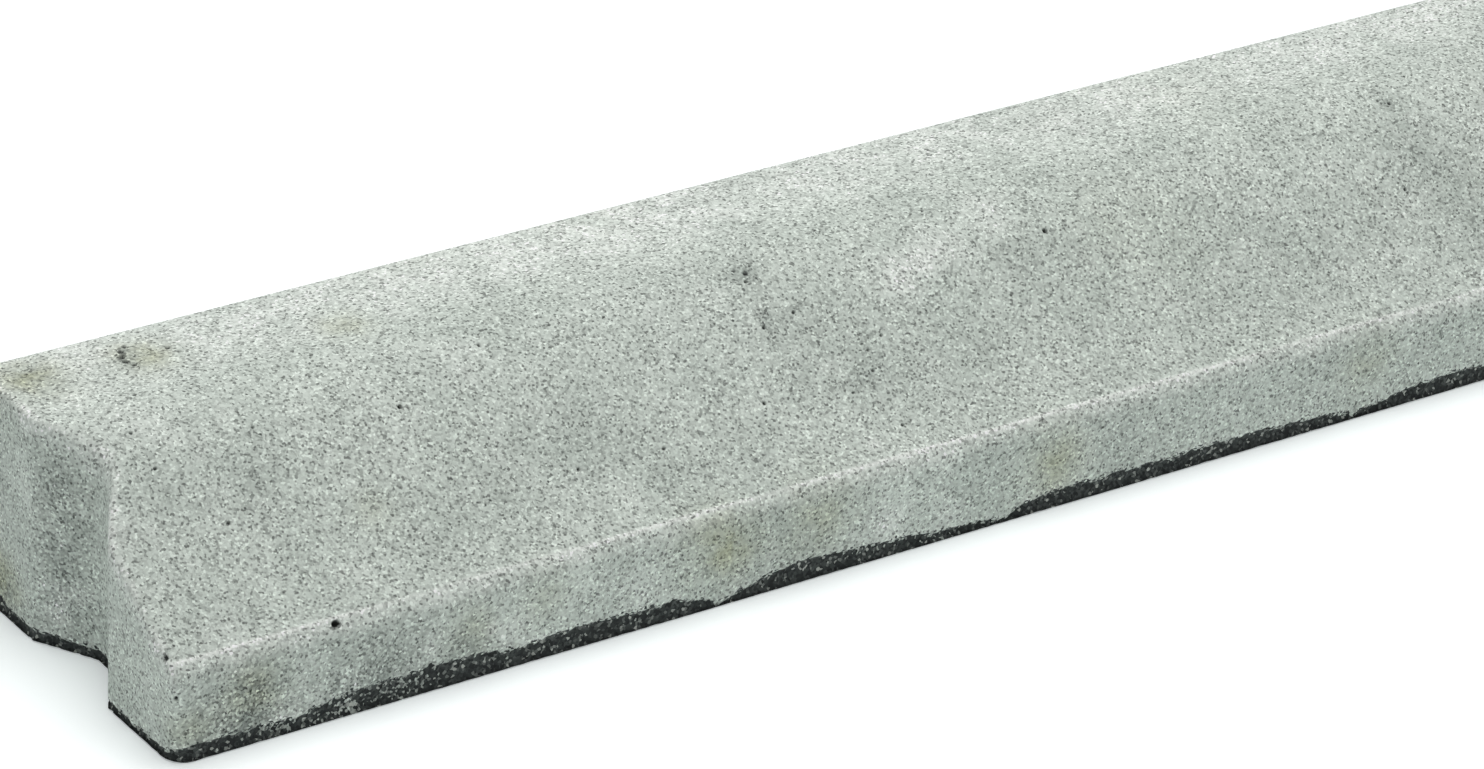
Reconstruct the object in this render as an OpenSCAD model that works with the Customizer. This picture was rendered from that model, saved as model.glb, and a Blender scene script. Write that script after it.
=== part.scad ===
// Mountable kerb stone, a one-piece precast unit.
// The stone lies on its bed: X runs along it, Y from its low front face to its back, Z up.
// The origin is on the bed, midway between the two end faces and between front and back.
// A key groove runs from bed to top in its -X end. From its +X end stands the tongue
// that fits the next stone's groove.

/* [Stone] */
// Length of the stone from end face to end face, without the tongue
stone_length = 1000; // [400:10:1200]
// Width of the bed, from the front face to the back
stone_width = 200; // [165:1:260]
// Height at the back
stone_height = 122; // [102:1:150]
// Height of the upright front face
front_height = 50; // [40:1:72]

/* [Sloping face] */
// Angle at which the slope leaves the front face's top edge
foot_angle = 25; // [8:1:26]
// Steepest angle of the slope
slope_angle = 36; // [28:1:41]
// Width of the first, straight stretch behind the front face's top edge
foot_width = 8; // [8:1:16]
// Radius of the hollow at the foot of the slope
foot_radius = 180; // [60:1:220]
// Radius of the crown at the head of the slope
crown_radius = 92; // [30:1:110]

/* [Edges] */
// Rounding of the upright corners at the front
front_corner_radius = 11; // [3:1:20]
// Rounding of the upright corners at the back
back_corner_radius = 6; // [2:1:15]
// Rounding along the top of the front face
nosing_radius = 10; // [1:0.5:11]
// Rounding along the back edge of the top
back_edge_radius = 5; // [1:0.5:10]

/* [End key] */
// Width of the groove at the end face
groove_width = 74; // [46:1:100]
// Width of the groove's floor
groove_floor_width = 10; // [4:1:20]
// Depth of the groove below the end face
groove_depth = 18; // [8:1:26]
// Rounding of the groove's two mouth edges
groove_edge_radius = 8; // [1:1:12]
// Gap left all round the tongue in a groove, measured square to the end faces
key_clearance = 3; // [1:0.5:5]

/* [Hidden] */

$fn = 96;
past = 1;
// Each arc lies this much past the flats it meets, so that it crosses them and doesn't just touch
nudge = 0.001;

// Places of the end faces, the front and the back
half_length = stone_length / 2;
half_width = stone_width / 2;

// The section's sloping face, from the nosing up: a straight foot, a hollow arc, a straight
// slope and a crown arc, each tangent to the next
along_foot = [cos(foot_angle), sin(foot_angle)];
up_slope = [cos(slope_angle), sin(slope_angle)];
hollow_run = sin(slope_angle) - sin(foot_angle);
hollow_rise = cos(foot_angle) - cos(slope_angle);
crown_rise = crown_radius * (1 - cos(slope_angle));
nosing = [-half_width, front_height];
hollow_start = nosing + along_foot * foot_width / cos(foot_angle);
hollow_centre = hollow_start + foot_radius * [-sin(foot_angle), cos(foot_angle)];
hollow_end = hollow_start + foot_radius * [hollow_run, hollow_rise];
slope_rise = stone_height - crown_rise - hollow_end.y;
crown_start = hollow_end + up_slope * slope_rise / sin(slope_angle);
crown_corner = crown_start + up_slope * crown_radius * tan(slope_angle / 2);

// The groove's mouth edge and the way its wall leaves it
mouth_edge = [-half_length, groove_width / 2];
groove_wall = [groove_depth, (groove_floor_width - groove_width) / 2];
into_groove = groove_wall / norm(groove_wall);

// The tongue is the groove's own shape, drawn out of it by the clearance
tongue_reach = groove_depth - key_clearance;
tongue_root_width = groove_floor_width + (groove_width - groove_floor_width) * tongue_reach / groove_depth;

// What a rounding takes off a corner, whose two sides leave it along the unit vectors a and b
module rounding_waste(corner, a, b, radius) {
    half_angle = acos(a * b) / 2;
    inward = (a + b) / norm(a + b);
    setback = radius / tan(half_angle);
    centre = corner + inward * (radius / sin(half_angle) - nudge);
    difference() {
        polygon([corner + setback * a, corner - past * inward, corner + setback * b, centre]);
        translate(centre) circle(radius);
    }
}

// The cross-section, drawn with the stone's width along X and its height along Y
module section() {
    back_edge = [half_width, stone_height];
    difference() {
        polygon([
            [-half_width, 0],
            nosing,
            hollow_start,
            hollow_end,
            crown_corner,
            back_edge,
            [half_width, 0]
        ]);
        translate(hollow_centre - [0, nudge]) circle(foot_radius);
        rounding_waste(nosing, [0, -1], along_foot, nosing_radius);
        rounding_waste(crown_corner, -up_slope, [1, 0], crown_radius);
        rounding_waste(back_edge, [0, -1], [-1, 0], back_edge_radius);
    }
}

// A trapezium that stands out along +X from the Y axis
module key(root_width, tip_width, reach) {
    polygon([
        [-past, -root_width / 2],
        [0, -root_width / 2],
        [reach, -tip_width / 2],
        [reach, tip_width / 2],
        [0, root_width / 2],
        [-past, root_width / 2]
    ]);
}

// The groove in the -X end, with its two mouth edges rounded over
module groove() {
    translate([-half_length, 0]) key(groove_width, groove_floor_width, groove_depth);
    for (side = [0, 1])
        mirror([0, side])
        rounding_waste(mouth_edge, [0, 1], into_groove, groove_edge_radius);
}

// What stands beside the tongue on the +X end, on both sides
module beside_tongue() {
    translate([half_length, 0]) difference() {
        translate([0, -half_width - past])
            square([tongue_reach + past, stone_width + 2 * past]);
        key(tongue_root_width, groove_floor_width, tongue_reach);
    }
}

// All that is cut upright from the run of section, seen from above
module plan_waste() {
    for (end = [0, 1]) mirror([end, 0]) {
        rounding_waste([-half_length, -half_width], [1, 0], [0, 1], front_corner_radius);
        rounding_waste([-half_length, half_width], [1, 0], [0, -1], back_corner_radius);
    }
    groove();
    beside_tongue();
}

// The stone is its section run along X, trimmed to its plan
module kerb_stone() {
    color("#aab2a8") difference() {
        translate([-half_length, 0, 0])
            rotate([90, 0, 90])
            linear_extrude(stone_length + tongue_reach)
            section();
        translate([0, 0, -past]) linear_extrude(stone_height + 2 * past) plan_waste();
    }
}

kerb_stone();
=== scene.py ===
# %% [markdown]
# # A mountable kerb stone in cast concrete
# The real object is one solid block, cast on its bed in a steel mould: a low upright front, a slope
# that a wheel can climb, and a flat top. A key groove runs up one end and its tongue up the other.
# We build it in three steps: the plain moulded shape, the small damage and waviness that make
# concrete look cast, and one material with the sand, stains and torn foot of the real stone, and with
# some painted light and shade.

# %% Load the frame
import math
import random

import bmesh
import bpy
from mathutils import Euler, Matrix, Vector, noise
from mathutils.bvhtree import BVHTree


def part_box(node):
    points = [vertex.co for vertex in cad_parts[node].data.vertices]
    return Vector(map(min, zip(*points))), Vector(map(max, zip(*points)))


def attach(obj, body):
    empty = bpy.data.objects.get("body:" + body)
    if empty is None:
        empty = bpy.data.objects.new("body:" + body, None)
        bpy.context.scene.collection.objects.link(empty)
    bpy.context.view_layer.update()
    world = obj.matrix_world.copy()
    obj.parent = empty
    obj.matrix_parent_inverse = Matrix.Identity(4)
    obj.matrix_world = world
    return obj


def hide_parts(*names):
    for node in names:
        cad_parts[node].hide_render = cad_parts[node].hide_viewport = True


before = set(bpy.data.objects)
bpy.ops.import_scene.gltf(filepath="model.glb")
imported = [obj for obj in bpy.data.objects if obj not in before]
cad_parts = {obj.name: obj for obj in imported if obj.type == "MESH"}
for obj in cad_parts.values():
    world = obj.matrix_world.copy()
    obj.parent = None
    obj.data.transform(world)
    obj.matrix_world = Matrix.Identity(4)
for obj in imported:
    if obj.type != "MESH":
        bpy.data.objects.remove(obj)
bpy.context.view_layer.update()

low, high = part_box("kerb_stone")
HALF_LENGTH = -low.x
HALF_WIDTH = high.y
HEIGHT = high.z
print("frame nodes:", list(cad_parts))
print("frame box, mm:", [round(v * 1000, 1) for v in (*low, *high)])

# %% [markdown]
# ## The moulded shape
# The block has the same section from end to end, so we draw that section once, as six corners, and
# extrude it. A bevel on the long edges then turns each corner into an arc: the hollow at the foot of
# the slope, the crown at its head, and the small roundings at the front and back. We could draw the
# arcs point by point, but corners and a bevel are easier to change.

# %% Draw the section and run it along the stone
MM = 0.001
# Each corner: how far it lies from the middle toward the back, and how high it stands.
SECTION = {
    "front foot": (-HALF_WIDTH, 0.0),
    "nosing": (-HALF_WIDTH, 50 * MM),
    "hollow": (-76.3 * MM, 61.05 * MM),
    "crown": (7.6 * MM, HEIGHT),
    "back edge": (HALF_WIDTH, HEIGHT),
    "back foot": (HALF_WIDTH, 0.0),
}
stone = bmesh.new()
outline = [stone.verts.new((-HALF_LENGTH, y, z)) for y, z in SECTION.values()]
end_face = stone.faces.new(outline)
run = bmesh.ops.extrude_face_region(stone, geom=[end_face])
moved = [part for part in run["geom"] if isinstance(part, bmesh.types.BMVert)]
bmesh.ops.translate(stone, vec=(2 * HALF_LENGTH, 0, 0), verts=moved)
bmesh.ops.recalc_face_normals(stone, faces=stone.faces[:])
print("plain prism:", round(stone.calc_volume() * 1000, 2), "litres")


# %% Round the long edges
def edges_where(test):
    """The edges whose two ends both pass the test."""
    return [edge for edge in stone.edges if all(test(v.co) for v in edge.verts)]


def round_edges(edges, setback, segments):
    bmesh.ops.bevel(
        stone,
        geom=edges,
        offset=setback,
        segments=segments,
        profile=0.5,
        affect="EDGES",
        material=-1,
        clamp_overlap=False,
    )


# How far back from its corner each arc starts: a radius times the tangent of half its turn.
LONG_SETBACKS = {"hollow": 17.3 * MM, "crown": 29.9 * MM, "nosing": 6.4 * MM, "back edge": 5 * MM}
for corner, setback in LONG_SETBACKS.items():
    y, z = SECTION[corner]
    along = edges_where(lambda co: abs(co.y - y) < 1e-5 and abs(co.z - z) < 1e-5)
    round_edges(along, setback, 12)
print("section rounded:", len(stone.verts), "points")

# %% [markdown]
# ## The key on the two ends
# Stones are set end to end, and a tongue on one enters a groove in the next so they can't slip
# sideways. Both are trapeziums seen from above. We slice the block with upright planes where the
# groove and the tongue change direction, then slide the points of each end face along the stone.

# %% Slice the stone where the groove and the tongue turn
GROOVE = {"half_mouth": 37 * MM, "half_floor": 5 * MM, "reach": 18 * MM}
TONGUE = {"half_mouth": 31.7 * MM, "half_floor": 5 * MM, "reach": high.x - HALF_LENGTH}
bends = sorted({key[place] for key in (GROOVE, TONGUE) for place in ("half_mouth", "half_floor")})
for y in [side * bend for bend in bends for side in (-1, 1)]:
    whole = stone.verts[:] + stone.edges[:] + stone.faces[:]
    bmesh.ops.bisect_plane(stone, geom=whole, plane_co=(0, y, 0), plane_no=(0, 1, 0))
print("slices at, mm:", [round(bend / MM, 1) for bend in bends])

# %% Round the upright corners
# Each corner: which end, and the front (-1) or the back (1).
UPRIGHT_RADII = {(-1, -1): 11 * MM, (1, -1): 11 * MM, (-1, 1): 6 * MM, (1, 1): 6 * MM}
for (end, side), radius in UPRIGHT_RADII.items():
    x, y = end * HALF_LENGTH, side * HALF_WIDTH
    upright = edges_where(lambda co: abs(co.x - x) < 1e-5 and abs(co.y - y) < 1e-5)
    round_edges(upright, radius, 6)
print("corners rounded:", len(stone.verts), "points")


# %% Push in the groove and pull out the tongue
def key_shift(y, key):
    """How far the end face moves along the stone at a distance from its middle line."""
    share = (key["half_mouth"] - abs(y)) / (key["half_mouth"] - key["half_floor"])
    return key["reach"] * min(1.0, max(0.0, share))


for v in stone.verts:
    if abs(v.co.x) > HALF_LENGTH - 0.01 * MM:
        v.co.x += key_shift(v.co.y, GROOVE if v.co.x < 0 else TONGUE)
print("keyed stone:", round(stone.calc_volume() * 1000, 2), "litres")

# %% [markdown]
# ## An even skin
# Damage needs points to move, and the moulded shape has only a few long faces. A voxel remesh gives
# it an even skin of 3 mm squares, and a few passes of smoothing wear every sharp arris to the 2 or
# 3 mm round that a steel mould leaves. It loses nothing that matters on a solid block with no seams.

# %% Remesh
VOXEL = 3.1 * MM
PLAIN = BVHTree.FromBMesh(stone)
plain = bpy.data.objects.new("plain_shape", bpy.data.meshes.new("plain_shape"))
bpy.context.scene.collection.objects.link(plain)
stone.to_mesh(plain.data)
stone.free()
voxels = plain.modifiers.new("even skin", "REMESH")
voxels.mode = "VOXEL"
voxels.voxel_size = VOXEL
skin = bpy.data.meshes.new_from_object(plain.evaluated_get(bpy.context.evaluated_depsgraph_get()))
bpy.data.objects.remove(plain)
stone = bmesh.new()
stone.from_mesh(skin)
print("even skin:", len(stone.faces), "faces")

# %% [markdown]
# ## Worn end arrises
# The mould leaves the arris between each end face and the slope almost sharp, and handling wears it
# down, most of all over the groove. Each point near it is drawn onto a quarter ellipse that touches
# both faces, which rounds an edge that curves, where a bevel would need a clean line to follow.


# %% Round the end arrises
def top_at(y):
    """The height of the moulded stone at a distance from its middle line."""
    hit = PLAIN.ray_cast(Vector((0, y, 1)), Vector((0, 0, -1)))[0]
    return hit.z if hit else 0.0


def arris_size(x, y):
    """How far the wear reaches in along the stone, and how far down its end face."""
    over_groove = key_shift(y, GROOVE) / GROOVE["reach"] if x < 0 else 0.0
    return (1.5 + 4.5 * over_groove) * MM, (4 + 9 * over_groove) * MM


def below_arris(co):
    """How far a point lies in from the end face, and how far below the top of the stone."""
    end = -HALF_LENGTH + key_shift(co.y, GROOVE) if co.x < 0 else HALF_LENGTH + key_shift(co.y, TONGUE)
    return abs(co.x - end), top_at(co.y) - co.z


# The groove reaches deeper into its end than the tongue's arris does into the other.
ARRIS_ZONE = {"groove end": 30 * MM, "tongue end": 10 * MM}
WORN_ABOVE = 30 * MM
worn = 0
for v in stone.verts:
    zone = ARRIS_ZONE["groove end" if v.co.x < 0 else "tongue end"]
    if abs(v.co.x) < HALF_LENGTH - zone:
        continue
    inward, below = below_arris(v.co)
    reach, drop = arris_size(v.co.x, v.co.y)
    if inward < reach and below < drop and v.co.z > WORN_ABOVE:
        corner = Vector((1 - inward / reach, 1 - below / drop))
        if corner.length > 1:
            corner.normalize()
            v.co.x += math.copysign(reach * (1 - corner.x) - inward, -v.co.x)
            v.co.z -= drop * (1 - corner.y) - below
            worn += 1
print("points drawn in along the end arrises:", worn)

# %% Smooth the whole skin
for _ in range(2):
    bmesh.ops.smooth_vert(
        stone, verts=stone.verts[:], factor=0.5, use_axis_x=True, use_axis_y=True, use_axis_z=True
    )
print("smoothed stone:", round(stone.calc_volume() * 1000, 2), "litres")

# %% [markdown]
# ## Finer squares where the detail is
# The torn foot, the ridge above the front face and the blowholes are smaller than a 3 mm square.
# We could remesh the whole stone finer, but it would grow to millions of faces. Splitting only the
# squares around the detail keeps the stone light enough to use.

# %% Find where the blowholes go
random.seed(4)
SURFACE = BVHTree.FromBMesh(stone)

# Each hole: a point near the surface, its radius and its depth, in millimetres. The larger ones have
# their own places, and a row of five makes the chip beside the groove. The small ones are scattered.
HOLES = [
    ((-410, -99, 53), 2.3, 3.0),
    ((-499, -90, 55), 1.6, 2.0),
    ((-499, -100, 36), 1.2, 1.4),
    ((-325, -14, 108), 1.3, 1.6),
    ((66, -12, 108), 1.5, 2.0),
    ((-425, 81, 122), 1.4, 1.1),
    ((-429, 77, 122), 1.6, 1.5),
    ((-431, 72, 122), 1.7, 1.7),
    ((-432, 67, 122), 1.6, 1.5),
    ((-430, 62, 122), 1.3, 1.1),
    ((-407, 70, 122), 1.4, 1.4),
    ((-404, 64, 122), 1.2, 1.2),
    ((-445, 35, 122), 1.0, 1.1),
    ((-460, -12, 108), 1.0, 1.0),
    ((-383, 46, 122), 1.0, 1.0),
    ((-334, 48, 122), 1.0, 1.0),
    ((-250, -59, 74), 1.1, 1.1),
    ((-235, 59, 122), 1.1, 1.1),
    ((-136, -53, 78), 1.2, 1.3),
    ((-96, -18, 103), 1.1, 1.2),
    ((-69, -52, 79), 1.1, 1.1),
    ((-69, -79, 60), 1.1, 1.1),
    ((-55, -38, 89), 1.0, 1.0),
    ((9, 19, 120), 1.0, 1.1),
    ((-108, 8, 118), 1.5, 1.4),
    ((-111, 3, 116), 1.1, 1.2),
    ((-103, 12, 119), 0.9, 0.9),
    ((311, 8, 118), 1.3, 1.2),
    ((306, 12, 119), 1.0, 1.0),
    ((288, -37, 90), 1.1, 1.2),
    ((-113, 11, 119), 0.9, 0.9),
    ((-104, 3, 117), 0.8, 0.8),
    ((-116, -22, 102), 1.2, 1.2),
]
SCATTER_HEIGHTS = (20, 40, 118, 118)
for _ in range(26):
    spot = (random.uniform(-480, 480), random.uniform(-98, 98), random.choice(SCATTER_HEIGHTS))
    HOLES.append((spot, random.uniform(0.7, 1.2), random.uniform(0.7, 1.3)))
pits = []
for spot, radius, depth in HOLES:
    place, facing, _, _ = SURFACE.find_nearest(Vector(spot) * MM)
    on_the_bed = facing.z <= -0.5
    if not on_the_bed:
        pits.append((place, radius * MM, depth * MM))
print("blowholes:", len(pits))


# %% Split the squares
def refine(test):
    """Splits in four every square whose edges all pass the test, and fits its neighbours to it."""
    edges = [edge for edge in stone.edges if test((edge.verts[0].co + edge.verts[1].co) / 2)]
    bmesh.ops.subdivide_edges(stone, edges=edges, cuts=1, use_grid_fill=True)


def at_side(co):
    """Whether a point is on or near one of the upright sides."""
    near_side = abs(co.y) > HALF_WIDTH - 5 * MM
    near_end = abs(co.x) > HALF_LENGTH - 4 * MM
    in_groove = abs(co.x) > HALF_LENGTH - 24 * MM and co.z > 1 * MM
    return near_side or near_end or in_groove


FOOT_ZONE = 15 * MM
RIDGE = Vector((0, -94.3, 52.4)) * MM
RIDGE_ZONE = 4 * MM
stone.normal_update()
refine(lambda co: co.z < FOOT_ZONE and at_side(co))
refine(lambda co: Vector((co.y - RIDGE.y, co.z - RIDGE.z)).length < RIDGE_ZONE and co.y < 0)
# Two rounds at each hole, the second one closer in.
for radii in (2.6, 2.0):
    refine(lambda co: any((co - place).length < radii * radius + 1 * MM for place, radius, _ in pits))
stone.normal_update()
print("after splitting:", sum(len(f.verts) - 2 for f in stone.faces), "triangles")

# %% [markdown]
# ## The torn foot
# The stone is cast with a fine facing mix over a coarse, dark backing. Along the foot the facing has
# broken away in a ragged line and shows the coarse mix, set back a little and hollow underneath. We
# say how high the tear stands at stations along the stone, and let noise break up the line between.
# Sculpting it by hand would look as good, but a list of heights can be read and changed.

# %% Say how high the tear stands
# Each station: how far along the stone or across its end, and the height of the tear, in millimetres.
FRONT_TEAR = [
    (-500, 8), (-466, 9), (-431, 8), (-411, 13), (-361, 14), (-333, 13), (-309, 10), (-272, 12),
    (-231, 11), (-205, 8), (-191, 2.5), (-180, 5), (-161, 10), (-138, 12), (-100, 10), (-77, 9),
    (-62, 6), (-30, 5), (-15, 3), (-3, 8), (33, 10), (80, 9), (120, 10), (165, 9), (195, 7),
    (212, 3), (235, 7), (260, 10), (330, 9), (400, 12), (450, 7), (500, 9),
]
END_TEAR = [(-100, 8), (-85, 4.5), (-40, 4), (0, 6), (36, 6), (62, 6), (80, 14), (100, 12)]
BACK_TEAR = [
    (-500, 10), (-380, 6), (-250, 9), (-120, 5), (0, 8), (140, 11), (280, 6), (420, 9), (500, 8),
]
heights = [height for _, height in FRONT_TEAR]
print("torn foot on the front, mm:", min(heights), "to", max(heights))


# %% Blend between the stations
def between(stations, where):
    """The height at a place between two stations, in metres."""
    where = where / MM
    for (a, start), (b, end) in zip(stations, stations[1:]):
        if where <= b:
            return (start + (end - start) * max(0.0, where - a) / (b - a)) * MM
    return stations[-1][1] * MM


def grain(co, size, seed):
    """Smooth noise from -1 to 1, its lumps of a size in metres; each seed reads its own part of it."""
    return noise.noise(co / size + Vector((seed * 7.3, seed * 3.1, seed * 5.7)))


def tear_height(co, facing):
    """How high the torn foot stands at a point on one of the sides."""
    shares = (max(0.0, -facing.y) ** 2, max(0.0, facing.y) ** 2, facing.x**2)
    heights = (between(FRONT_TEAR, co.x), between(BACK_TEAR, co.x), between(END_TEAR, co.y))
    total = sum(shares)
    if total < 1e-6:
        return 0.0
    height = sum(share * each for share, each in zip(shares, heights)) / total
    return height + 1.3 * MM * grain(co, 11 * MM, 1) + 1.2 * MM * grain(co, 3.6 * MM, 2)


middle = Vector((0, -HALF_WIDTH, 0))
print("tear at the middle of the front, mm:", round(tear_height(middle, Vector((0, -1, 0))) / MM, 1))

# %% [markdown]
# ## Soiled, pale and tanned places
# Damp, handling and lime leave soft marks that belong to a place: grey dirt in the groove, on top of
# painted shade there, and low on the front; a white bloom of lime on the slope, and a pale band along
# the bare arrises that is partly painted light; and tan stains from iron in the sand. They could be
# painted on an image, but then they would need a UV map. Here each is a soft ball with a centre, a
# radius and a strength. The mesh keeps what they add up to at each point, one value for each kind, and
# the material reads that.

# %% List the marks
# Each mark: its centre and its radius in millimetres, and its strength.
MARKS = {
    "soil_and_shade": [
        ((-428, 78, 122), 4, 0.5), ((-431, 71, 122), 4, 0.5), ((-430, 63, 122), 4, 0.4),
        ((-108, 8, 118), 5, 0.35), ((-113, -22, 102), 8, 0.22), ((-100, -28, 97), 22, 0.13),
        ((-107, 8, 118), 18, 0.13), ((-423, -31, 95), 17, 0.15), ((39, -21, 102), 14, 0.13),
        ((311, 8, 118), 7, 0.28), ((300, -14, 106), 16, 0.12), ((273, 39, 122), 9, 0.14),
        ((-75, -54, 77), 15, 0.12), ((-350, -29, 97), 16, 0.12), ((-289, -47, 83), 18, 0.1),
        ((-459, -25, 99), 2.5, 0.4), ((-448, -32, 94), 2.5, 0.4), ((-441, -31, 95), 2.5, 0.4),
        ((-462, -100, 14), 28, 0.62), ((-390, -100, 16), 26, 0.46), ((-340, -100, 14), 22, 0.28),
        ((-500, 70, 60), 34, 0.14), ((-500, 66, 17), 13, 0.45), ((-480, 73, 122), 16, 0.2),
        ((-428, 72, 122), 14, 0.1), ((-457, -100, 28), 13, 0.12),
        ((-150, -100, 26), 30, 0.1), ((60, -100, 26), 36, 0.1), ((180, -100, 24), 30, 0.1),
    ],
    "bloom_and_light": [
        ((-445, -100, 5), 16, 0.3), ((-405, -100, 8), 14, 0.36), ((-370, -100, 6), 12, 0.3),
        ((-160, 15, 118), 40, 0.12), ((-190, 70, 122), 40, 0.12), ((-118, 84, 122), 34, 0.2),
        ((4, -5, 113), 13, 0.58), ((-29, -16, 106), 11, 0.55), ((40, 6, 117), 12, 0.5),
        ((-12, -12, 110), 8, 0.5), ((-453, 10, 118), 22, 0.2), ((-489, -32, 94), 17, 0.2),
        ((-280, 2, 116), 14, 0.25), ((-466, -90, 55), 12, 0.3),
        ((-360, -100, 26), 9, 0.3), ((-240, -100, 19), 10, 0.35), ((-317, -100, 19), 9, 0.3),
        ((-90, -100, 18), 11, 0.4), ((-52, -100, 15), 10, 0.35), ((-111, -100, 16), 9, 0.3),
        ((-490, 20, 30), 9, 0.5), ((-494, 26, 18), 7, 0.5), ((-325, -100, 25), 2.5, 0.9),
        ((-90, -85, 58), 2.5, 0.9),
    ],
    "tan": [
        ((-480, 73, 122), 17, 0.75), ((-422, 69, 122), 15, 0.7), ((-319, 50, 122), 12, 0.5),
        ((-184, -100, 33), 15, 0.6), ((-200, -100, 36), 18, 0.35), ((-133, -100, 34), 20, 0.4),
        ((-457, -100, 28), 14, 0.6), ((-490, -100, 18), 10, 0.5), ((12, -100, 27), 17, 0.6),
        ((-336, -100, 27), 12, 0.35), ((-294, -100, 36), 12, 0.25), ((219, -100, 34), 16, 0.35),
        ((-363, -53, 78), 10, 0.25), ((-500, 92, 24), 13, 0.9), ((-500, 66, 18), 14, 0.9),
    ],
}
print("marks with a place of their own:", sum(len(spots) for spots in MARKS.values()))

# %% Scatter faint marks over the back and the far half of the slope
for kind in MARKS:
    for _ in range(14):
        spot = (random.uniform(-500, 510), 100, random.uniform(8, 112))
        MARKS[kind].append((spot, random.uniform(8, 30), random.uniform(0.1, 0.3)))
    for _ in range(6):
        spot = (random.uniform(100, 500), random.uniform(-90, 90), 100)
        MARKS[kind].append((spot, random.uniform(20, 40), random.uniform(0.06, 0.14)))
print("marks:", {kind: len(spots) for kind, spots in MARKS.items()})


# %% Add the marks up
def smooth_step(value):
    """A ramp from 0 to 1 that starts and ends softly."""
    value = min(1.0, max(0.0, value))
    return value * value * (3 - 2 * value)


def marked(kind, co):
    """How strong the marks of one kind are at a point, which is given in millimetres."""
    total = 0.0
    for spot, radius, strength in MARKS[kind]:
        if abs(co.x - spot[0]) < 2 * radius:
            away = (co - Vector(spot)).length / radius
            if away < 2:
                total += strength * math.exp(-away * away)
    return total


chip = Vector((-430, 70, 122))
print("marks at the chip:", {kind: round(marked(kind, chip), 2) for kind in MARKS})

# %% [markdown]
# ## Films and painted light that follow the shape
# Painted shade, with some dirt, darkens one wall of the groove; painted light brightens the flat top
# toward its back edge and the front face just below the ridge; and the end arrises are pale, partly
# from handling and partly from painted light. Soft balls would fit such places badly, because these
# follow the stone's own shape. So each is a short function, from a point in millimetres to a share
# from 0 to 1, that uses the same lines and planes as the shape does.


# %% Say where each film, painted light and painted shade lies
def groove_shade_and_dirt(co):
    """Painted shade, with some dirt, on the far wall of the groove: thick near the mouth, gone at the
    floor.
    """
    if co.x > -480 or abs(co.y) > 39:
        return 0.0
    across = smooth_step((co.y + 2) / 26) * smooth_step((42 - co.y) / 18)
    return across * smooth_step((122 - co.z) / 36)


def light_below_ridge(co):
    """Painted light: a pale band below the ridge, which fades out down the front face."""
    return math.exp(-(((52 - co.z) / 6) ** 2)) if co.y < -95 else 0.0


def worn_and_lit_arris(co, facing):
    """The pale band below the arris of an end face: partly wear from handling, partly painted light."""
    if abs(facing.x) < 0.25 or co.z < 30:
        return 0.0
    _, below = below_arris(co * MM)
    reach = 12 + 5 * key_shift(co.y * MM, GROOVE) / GROOVE["reach"]
    return smooth_step(1.15 - below / MM / reach)


def light_toward_top_back(co, facing):
    """Painted light on the flat top, stronger toward its back edge."""
    return smooth_step((co.y - 25) / 55) if facing.z > 0.7 else 0.0


up = Vector((0, 0, 1))
across_top = [Vector((0, y, 122)) for y in (30, 50, 80)]
# Painted light across the top, from the front of the flat to its back.
print("skin of lime across the top:", [round(light_toward_top_back(co, up), 2) for co in across_top])

# %% [markdown]
# ## Waviness, flash and holes
# A steel mould is never quite flat and concrete shrinks as it sets, so broad faces carry waves a few
# tenths of a millimetre deep. Paste that leaks into the joint of the mould leaves a thin raised line,
# the flash, along the ridge. Trapped air leaves round blowholes. A displacement texture could make
# them all, but a small function for each says plainly how far it moves a point of the surface.


# %% Say how far each shape moves a point
def waviness(co, facing):
    """How far a face lies back from the true shape, in millimetres: least along the top's back edge."""
    waves = 0.2 * (1 + grain(co, 85 * MM, 3)) + 0.1 * (1 + grain(co, 22 * MM, 4))
    if facing.z > 0.3:
        waves *= 1 - 0.7 * smooth_step((co.y / MM - 50) / 30)
    return waves


def flash(co):
    """How much the raised line along the ridge shows at a point, from 0 to 1."""
    wander = 0.5 * MM * grain(Vector((co.x, 0, 0)), 45 * MM, 5)
    away = Vector((co.y - RIDGE.y - wander, co.z - RIDGE.z)).length
    patches = smooth_step(0.8 + grain(Vector((co.x, 0, 0)), 60 * MM, 263))
    return math.exp(-((away / (1.2 * MM)) ** 2)) * patches if co.y < 0 else 0.0


def pit_depth(co):
    """How deep the nearest blowhole is at a point, in metres."""
    depth = 0.0
    for place, radius, deep in pits:
        away = (co - place).length / radius
        if away < 1.5:
            depth = max(depth, deep * (1 - smooth_step((away - 0.45) / 0.75)))
    return depth


print("waviness at the middle of the top, mm:", round(waviness(up * HEIGHT, up), 2))

# %% [markdown]
# ## The relief of the torn foot
# Where the facing broke off, the coarse mix stands back by a millimetre or two, lumpy with pebbles,
# and the last edge of the facing curls out in places. Smoothing has also rounded the lowest edge of
# the stone, which is sharp where it meets the bed, so the lowest points first go back to it.

# %% Say how the torn foot moves a point
PEBBLE = 4 * MM


def set_back(co, below):
    """How far the torn foot stands back from the face, in millimetres."""
    pebbles = noise.voronoi(co / PEBBLE)[0][0]
    hollow = 0.35 + 0.65 * smooth_step(co.z / (5 * MM))
    return smooth_step(below / 1.0) * hollow * (0.7 + 1.6 * pebbles + 0.5 * grain(co, 2.2 * MM, 8))


def curled_lip(co, below):
    """Where the facing curls out just above the tear, from 0 to 1."""
    patches = smooth_step(0.6 + 1.5 * grain(co, 30 * MM, 9))
    return smooth_step(1 - abs(below + 1.2) / 1.6) * patches


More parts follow.
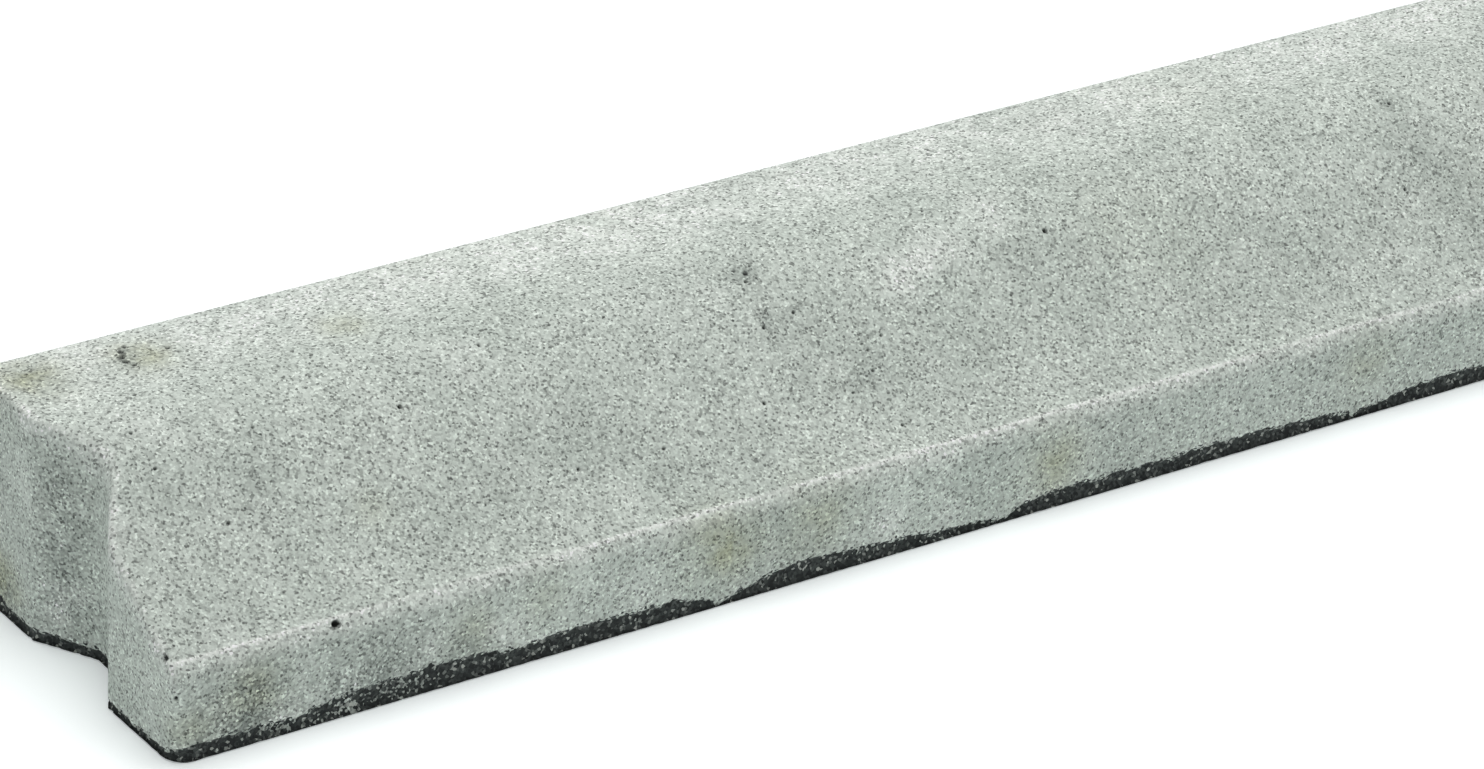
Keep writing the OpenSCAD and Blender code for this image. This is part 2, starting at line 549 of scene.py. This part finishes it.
def to_toe(co, outward):
    """The move that gives a point low on a side back to the sharp edge of the bed."""
    share = smooth_step(1 - co.z / (4 * MM))
    hit = PLAIN.ray_cast(co, outward, 5 * MM)
    reach = hit[3] if hit[0] else 0.0
    return share * (outward * reach - Vector((0, 0, co.z)))


low_point = Vector((0, -HALF_WIDTH, 3 * MM))
print("torn foot stands back there by, mm:", round(set_back(low_point, 5), 2))

# %% Move the points
FLASH_HEIGHT = 0.5
LIP_HEIGHT = 0.35
BED_ROUGHNESS = 0.5
FAR_FROM_TEAR = 10.0
# The groove share is painted shade with some dirt; the top and ridge shares are painted light, and the
# arris share is partly painted light.
FILM_AND_LIGHT_STRENGTHS = {"groove": 0.36, "arris": 0.5, "top": 0.42, "ridge": 0.33, "lip": 0.4}

layers = {kind: stone.verts.layers.float.new(kind) for kind in ("tear", "flash", "hole", *MARKS)}
goals = []
for v in stone.verts:
    co, facing = v.co, v.normal
    v[layers["flash"]] = flash(co)
    depth = pit_depth(co)
    v[layers["hole"]] = min(1.0, depth / MM)
    move = facing * ((FLASH_HEIGHT * v[layers["flash"]] - waviness(co, facing)) * MM - depth)

    sideways = Vector((facing.x, facing.y, 0))
    if co.z < 4 * MM and sideways.length > 0.2:
        move += to_toe(co, sideways.normalized())

    below, lip = -FAR_FROM_TEAR, 0.0
    if facing.z < -0.8:
        below = FAR_FROM_TEAR
        move.z += BED_ROUGHNESS * MM * abs(grain(co, 9 * MM, 10))
    elif sideways.length > 0.3:
        below = (tear_height(co, facing) - co.z) / MM
        below = max(-FAR_FROM_TEAR, min(FAR_FROM_TEAR, below))
        lip = curled_lip(co, below)
        move -= sideways.normalized() * (set_back(co, below) - LIP_HEIGHT * lip) * MM
    v[layers["tear"]] = below

    place = co / MM
    v[layers["tan"]] = marked("tan", place)
    # The soil value also holds the painted shade on the groove's far wall.
    v[layers["soil_and_shade"]] = marked("soil_and_shade", place) + FILM_AND_LIGHT_STRENGTHS["groove"] * groove_shade_and_dirt(place)
    # All but the lip share are painted light, in whole or in part.
    films_and_light = {
        "arris": worn_and_lit_arris(place, facing),
        "top": light_toward_top_back(place, facing),
        "ridge": light_below_ridge(place),
        "lip": lip if below < 0 else 0.0,
    }
    pale = sum(FILM_AND_LIGHT_STRENGTHS[film] * share for film, share in films_and_light.items())
    v[layers["bloom_and_light"]] = marked("bloom_and_light", place) + pale
    goals.append(co + move)
farthest = max((goal - v.co).length for v, goal in zip(stone.verts, goals))
print("farthest move of a point, mm:", round(farthest / MM, 1))

# %% [markdown]
# ## One finished casting
# All that was drawn so far is one mesh, because the real stone is one casting. It takes the place of
# the frame's plain stone and is kept inside that stone's box. Every wave and tear goes
# inwards; only the flash and the curled lips stand out, so those points are held at the box.

# %% Keep every point inside the frame's box
for v, goal in zip(stone.verts, goals):
    v.co = [min(most, max(least, value)) for least, most, value in zip(low, high, goal)]
print("shape now:", round(stone.calc_volume() * 1000, 2), "litres")

# %% Make the finished stone an object
mesh = bpy.data.meshes.new("kerb_casting")
stone.to_mesh(mesh)
stone.free()
mesh.shade_smooth()
casting = bpy.data.objects.new("kerb_casting", mesh)
bpy.context.scene.collection.objects.link(casting)
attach(casting, "root")
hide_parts("kerb_stone")
print("kerb casting:", sum(len(p.vertices) - 2 for p in mesh.polygons), "triangles")

# %% [markdown]
# ## Precast concrete
# This is grey cement paste struck from a steel mould, with fine sand just under its skin. Hardened
# paste is a dull dielectric: an IOR near 1.5 and a roughness near 0.9, so the eye sees no gloss, only
# colour, specks and small pits. The nodes build that up in layers, from broad clouds in the paste down
# to single grains, and every layer reads the stone's own coordinates, so nothing slides or stretches.


# %% Two helpers for materials
def linear(hex_colour):
    """An sRGB hex colour as the linear values that Blender's sockets take."""
    parts = [int(hex_colour[i : i + 2], 16) / 255 for i in (1, 3, 5)]
    return (*[p / 12.92 if p <= 0.04045 else ((p + 0.055) / 1.055) ** 2.4 for p in parts], 1.0)


def add(tree, kind, settings=None, inputs=None):
    """Adds a node, sets its properties, and fills or links its inputs."""
    node = tree.nodes.new(kind)
    for name, value in (settings or {}).items():
        setattr(node, name, value)
    for name, value in (inputs or {}).items():
        if isinstance(value, bpy.types.NodeSocket):
            tree.links.new(value, node.inputs[name])
        else:
            node.inputs[name].default_value = value
    return node


print("middle grey in linear values:", [round(part, 3) for part in linear("#808080")])

# %% Cement paste, mottled
# Richer and leaner paste make broad clouds, and lime dries out in smaller blotches.
CLOUD = 60 * MM
BLOTCH = 18 * MM
concrete = bpy.data.materials.new("precast_concrete")
concrete.use_nodes = True
tree = concrete.node_tree
tree.nodes.clear()
place = add(tree, "ShaderNodeTexCoord").outputs["Object"]
MIX = {"data_type": "RGBA"}
TIMES = {"data_type": "RGBA", "blend_type": "MULTIPLY", "clamp_result": True}

clouds = add(
    tree, "ShaderNodeTexNoise", None,
    {"Vector": place, "Scale": 1 / CLOUD, "Detail": 5.0, "Roughness": 0.65},
)
spread = add(
    tree, "ShaderNodeMapRange", None,
    {"Value": clouds.outputs["Fac"], "From Min": 0.3, "From Max": 0.7},
)
paste = add(
    tree, "ShaderNodeMix", MIX,
    {0: spread.outputs[0], 6: linear("#b8c1b9"), 7: linear("#ced6ce")},
).outputs[2]
blotches = add(
    tree, "ShaderNodeTexNoise", None,
    {"Vector": place, "Scale": 1 / BLOTCH, "Detail": 3.0, "Roughness": 0.6, "Distortion": 0.4},
)
lime = add(
    tree, "ShaderNodeMapRange", None,
    {"Value": blotches.outputs["Fac"], "From Min": 0.55, "From Max": 0.75, "To Max": 0.35},
)
paste = add(
    tree, "ShaderNodeMix", MIX, {0: lime.outputs[0], 6: paste, 7: linear("#dde3dc")}
).outputs[2]
print("paste:", len(tree.nodes), "nodes")

# %% [markdown]
# ## The marks in the material
# The mesh carries each mark as a smooth value, but a stain soaks in unevenly and its edge is ragged.
# So each value is multiplied by the blotches of the paste before it mixes in its colour: white for
# lime and for the painted light, a greenish tan for iron stains, grey for dirt and for the painted
# shade. The blotches are there already, so a stain follows the paste it sits on, as a real one does.

# %% Mix in the marks
# Each mark: its colour, and the two blotch values where it starts to show and shows in full.
MARK_COLOURS = {
    "bloom_and_light": ("#e9eee8", 0.4, 0.6),
    "tan": ("#aeb39b", 0.4, 0.6),
    "soil_and_shade": ("#7b837d", 0.6, 0.4),
}
for kind, (colour, starts, full) in MARK_COLOURS.items():
    there = add(tree, "ShaderNodeAttribute", {"attribute_name": kind}).outputs["Fac"]
    ragged = add(
        tree, "ShaderNodeMapRange", None,
        {
            "Value": blotches.outputs["Fac"],
            "From Min": starts,
            "From Max": full,
            "To Min": 0.6,
            "To Max": 1.35,
        },
    ).outputs[0]
    share = add(
        tree, "ShaderNodeMath", {"operation": "MULTIPLY", "use_clamp": True}, {0: there, 1: ragged}
    ).outputs[0]
    paste = add(tree, "ShaderNodeMix", MIX, {0: share, 6: paste, 7: linear(colour)}).outputs[2]

# The flash is nearly pure paste and rubbed clean; its pale line also carries a painted highlight.
raised = add(tree, "ShaderNodeAttribute", {"attribute_name": "flash"}).outputs["Fac"]
share = add(tree, "ShaderNodeMath", {"operation": "MULTIPLY"}, {0: raised, 1: 0.8}).outputs[0]
paste = add(tree, "ShaderNodeMix", MIX, {0: share, 6: paste, 7: linear("#f2f5f0")}).outputs[2]
print("paste with its marks:", len(tree.nodes), "nodes")

# %% [markdown]
# ## Sand and pinholes
# Sand shows through the skin of paste as a fine speckle of lighter and darker grains, and air leaves
# pinholes between them. Real grains are 0.5 to 2 mm across and the finest holes half a millimetre,
# too small to model. Voronoi cells suit them: each cell has one random tone, as each grain has its
# own colour. Grains are drawn at 1.2 mm and pinholes at 1 mm, a little coarse, so that both still
# show from two or three metres away.

# %% Sand grains
# Each list runs over the random tone of a cell and says how much lighter or darker its grain is.
# Dirt stays in the pores and wears off the grains, so a soiled place, and the painted shade in the
# groove, has the second list on top.
SAND_GRAIN = 1.2 * MM
GRAIN_TONES = ((0.0, 0.3), (0.1, 0.6), (0.3, 0.89), (0.6, 1.06), (0.88, 1.19), (1.0, 1.55))
DIRT_AND_SHADE_TONES = ((0.0, 0.3), (0.2, 0.65), (0.5, 1.0), (0.8, 1.2), (1.0, 1.7))
grains = add(tree, "ShaderNodeTexVoronoi", None, {"Vector": place, "Scale": 1 / SAND_GRAIN})
tones = add(tree, "ShaderNodeSeparateColor", None, {"Color": grains.outputs["Color"]})
soil_and_shade_there = add(tree, "ShaderNodeAttribute", {"attribute_name": "soil_and_shade"}).outputs["Fac"]
dirt_and_shade_share = add(
    tree, "ShaderNodeMath", {"operation": "MULTIPLY", "use_clamp": True}, {0: soil_and_shade_there, 1: 1.7}
).outputs[0]
sandy = paste
for stops, channel, share in ((GRAIN_TONES, "Red", 1.0), (DIRT_AND_SHADE_TONES, "Green", dirt_and_shade_share)):
    ramp = add(tree, "ShaderNodeValToRGB", None, {"Fac": tones.outputs[channel]})
    for _ in stops[2:]:
        ramp.color_ramp.elements.new(0.5)
    for stop, (position, value) in zip(ramp.color_ramp.elements, stops):
        stop.position = position
        stop.color = (value, value, value, 1)
    sandy = add(
        tree, "ShaderNodeMix", TIMES, {0: share, 6: sandy, 7: ramp.outputs["Color"]}
    ).outputs[2]
print("sand:", len(tree.nodes), "nodes")

# %% Pinholes and blowholes, darkened with painted shade
PINHOLE_CELL = 4.5 * MM
PINHOLE_EDGE = (0.10, 0.17)
pinholes = add(tree, "ShaderNodeTexVoronoi", None, {"Vector": place, "Scale": 1 / PINHOLE_CELL})
# Painted shade: each pinhole, too small to model, is drawn as a dark dot.
pinhole = add(
    tree, "ShaderNodeMapRange", None,
    {
        "Value": pinholes.outputs["Distance"],
        "From Min": PINHOLE_EDGE[0],
        "From Max": PINHOLE_EDGE[1],
        "To Min": 0.35,
        "To Max": 1.0,
    },
)
sandy = add(
    tree, "ShaderNodeMix", TIMES, {0: 1.0, 6: sandy, 7: pinhole.outputs[0]}
).outputs[2]
# Painted shade: the inside of each blowhole goes near-black with its depth.
hole = add(tree, "ShaderNodeAttribute", {"attribute_name": "hole"}).outputs["Fac"]
sandy = add(tree, "ShaderNodeMix", MIX, {0: hole, 6: sandy, 7: linear("#2b2e2c")}).outputs[2]
print("pinholes, mm across:", [round(2 * edge * PINHOLE_CELL / MM, 1) for edge in PINHOLE_EDGE])

# %% [markdown]
# ## The look of the torn foot
# The coarse backing mix breaks through its dark stone, so its faces are near black with few pale
# grains; the near black also holds painted shade of the hollow under the facing. The mesh says how far
# each point lies below the tear. A straight cut at zero would look painted, so each small cell adds its
# own random step, and the outline goes from grain to grain. The broken grains are drawn at 1.5 to 2
# mm, a little coarse as well.

# %% Where the foot is torn
CHUNK = 2 * MM
TEAR_STEP = 4.0
tear = add(tree, "ShaderNodeAttribute", {"attribute_name": "tear"}).outputs["Fac"]
chunks = add(tree, "ShaderNodeTexVoronoi", None, {"Vector": place, "Scale": 1 / CHUNK})
chunk = add(tree, "ShaderNodeSeparateColor", None, {"Color": chunks.outputs["Color"]})
pushed = add(
    tree, "ShaderNodeMath", {"operation": "MULTIPLY_ADD"},
    {0: chunk.outputs["Green"], 1: TEAR_STEP, 2: tear},
).outputs[0]
torn = add(
    tree, "ShaderNodeMapRange", None, {"Value": pushed, "From Min": 1.9, "From Max": 2.2}
).outputs[0]
print("tear line steps up or down by, mm:", TEAR_STEP / 2)

# %% The coarse mix, with painted shade
# Half of the broken grains are darker than the second colour.
BROKEN_GRAIN = 1.5 * MM
# Dark stone and painted shade of the undercut together give these near-black colours.
COARSE_AND_SHADE_COLOURS = (
    (0.0, "#1f2323"), (0.5, "#363b3a"), (0.86, "#4f5452"), (0.95, "#7c817d"), (1.0, "#c4c8c1"),
)
broken = add(tree, "ShaderNodeTexVoronoi", None, {"Vector": place, "Scale": 1 / BROKEN_GRAIN})
broken_tone = add(tree, "ShaderNodeSeparateColor", None, {"Color": broken.outputs["Color"]})
coarse_and_shade = add(tree, "ShaderNodeValToRGB", None, {"Fac": broken_tone.outputs["Red"]})
for _ in COARSE_AND_SHADE_COLOURS[2:]:
    coarse_and_shade.color_ramp.elements.new(0.5)
for stop, (position, colour) in zip(coarse_and_shade.color_ramp.elements, COARSE_AND_SHADE_COLOURS):
    stop.position = position
    stop.color = linear(colour)
# Where the bloom reaches the torn foot, some of its grains still carry the pale paste.
limed = add(tree, "ShaderNodeAttribute", {"attribute_name": "bloom_and_light"}).outputs["Fac"]
coated = add(
    tree, "ShaderNodeMath", {"operation": "LESS_THAN"}, {0: broken_tone.outputs["Green"], 1: limed}
).outputs[0]
bare = add(
    tree, "ShaderNodeMath", {"operation": "MULTIPLY_ADD"}, {0: coated, 1: -0.8, 2: 1.0}
).outputs[0]
share = add(tree, "ShaderNodeMath", {"operation": "MULTIPLY"}, {0: torn, 1: bare}).outputs[0]
coloured = add(
    tree, "ShaderNodeMix", MIX, {0: share, 6: sandy, 7: coarse_and_shade.outputs["Color"]}
).outputs[2]
print("coarse mix:", len(tree.nodes), "nodes")

# %% [markdown]
# ## The surface
# Between the sand grains the skin of paste dips by some 0.3 mm, far less than a square of the mesh,
# so that relief is a bump. Concrete scatters light evenly, so one roughness serves the whole stone.

# %% Surface and output
RELIEF_DEPTH = 0.5 * MM
fine = add(
    tree, "ShaderNodeTexNoise", None, {"Vector": place, "Scale": 1 / SAND_GRAIN, "Detail": 2.0}
)
relief = add(
    tree, "ShaderNodeBump", None,
    {"Height": fine.outputs["Fac"], "Strength": 0.6, "Distance": RELIEF_DEPTH},
)
surface = add(
    tree, "ShaderNodeBsdfPrincipled", None,
    {"Base Color": coloured, "Roughness": 0.9, "IOR": 1.5, "Normal": relief.outputs["Normal"]},
)
add(tree, "ShaderNodeOutputMaterial", None, {"Surface": surface.outputs["BSDF"]})
casting.data.materials.append(concrete)
print("concrete:", len(tree.nodes), "nodes")

# %% [markdown]
# ## The studio
# The stone lies on a plain sheet of white paper under one wide overhead lamp and a weaker one behind
# it, with a dim white sky. More lamps could light the upright faces, but each would add a shadow.
# The sheet glows a little instead, as paper in a bright studio seems to, and leaves only a faint
# shadow at the foot of the stone.

# %% Floor
sheet = bmesh.new()
bmesh.ops.create_grid(sheet, x_segments=1, y_segments=1, size=8)
bmesh.ops.translate(sheet, vec=(0, 0, -0.2 * MM), verts=sheet.verts[:])
floor_mesh = bpy.data.meshes.new("floor")
sheet.to_mesh(floor_mesh)
sheet.free()
floor = bpy.data.objects.new("floor", floor_mesh)
bpy.context.scene.collection.objects.link(floor)
paper = bpy.data.materials.new("studio_paper")
paper.use_nodes = True
shader = paper.node_tree.nodes["Principled BSDF"]
shader.inputs["Base Color"].default_value = linear("#f2f5f5")
shader.inputs["Roughness"].default_value = 1.0
shader.inputs["Specular IOR Level"].default_value = 0.0
shader.inputs["Emission Color"].default_value = linear("#f8ffff")
shader.inputs["Emission Strength"].default_value = 0.32
floor.data.materials.append(paper)
print("floor, m:", [round(side, 1) for side in floor.dimensions])

# %% Light
sky = bpy.data.worlds.new("studio")
sky.use_nodes = True
sky.node_tree.nodes["Background"].inputs["Color"].default_value = (1, 1, 1, 1)
sky.node_tree.nodes["Background"].inputs["Strength"].default_value = 0.18
bpy.context.scene.world = sky
# Each lamp: its place, from which it faces the stone, and its power in watts.
LAMPS = {"overhead": ((0, 0, 2.6), 47), "behind": ((0, 1.5, 2.2), 15)}
LAMP_SIDE = 1.8
for name, (where, watts) in LAMPS.items():
    lamp = bpy.data.lights.new(name, "AREA")
    lamp.shape = "SQUARE"
    lamp.size = LAMP_SIDE
    lamp.energy = watts
    light = bpy.data.objects.new(name, lamp)
    light.location = where
    light.rotation_euler = (-Vector(where)).to_track_quat("-Z", "Y").to_euler()
    bpy.context.scene.collection.objects.link(light)
print("lamps, W:", {name: watts for name, (_, watts) in LAMPS.items()})

# %% [markdown]
# ## The camera
# A long lens from three metres away looks down on the groove end and lets the stone run out of the
# frame. The wide lens of a phone, held closer, would make the near end look larger than it is. The
# camera is aimed by how far it looks down and how far it turns, and then rolled a little.

# %% Camera
LOOKS_DOWN, TURNS_RIGHT, ROLLS = 27.50, 35.47, 2.85
lens = bpy.data.cameras.new("camera")
lens.sensor_width = 36
lens.lens = 156.516
lens.clip_end = 50
camera = bpy.data.objects.new("camera", lens)
camera.location = (-1.7963, -2.3629, 1.5684)
aim = Euler((math.radians(90 - LOOKS_DOWN), 0, math.radians(-TURNS_RIGHT))).to_matrix()
camera.rotation_euler = (aim @ Matrix.Rotation(math.radians(ROLLS), 3, "Z")).to_euler()
bpy.context.scene.collection.objects.link(camera)
bpy.context.scene.camera = camera
bpy.context.scene.view_settings.view_transform = "Standard"
print("camera to stone, m:", round(camera.location.length, 2))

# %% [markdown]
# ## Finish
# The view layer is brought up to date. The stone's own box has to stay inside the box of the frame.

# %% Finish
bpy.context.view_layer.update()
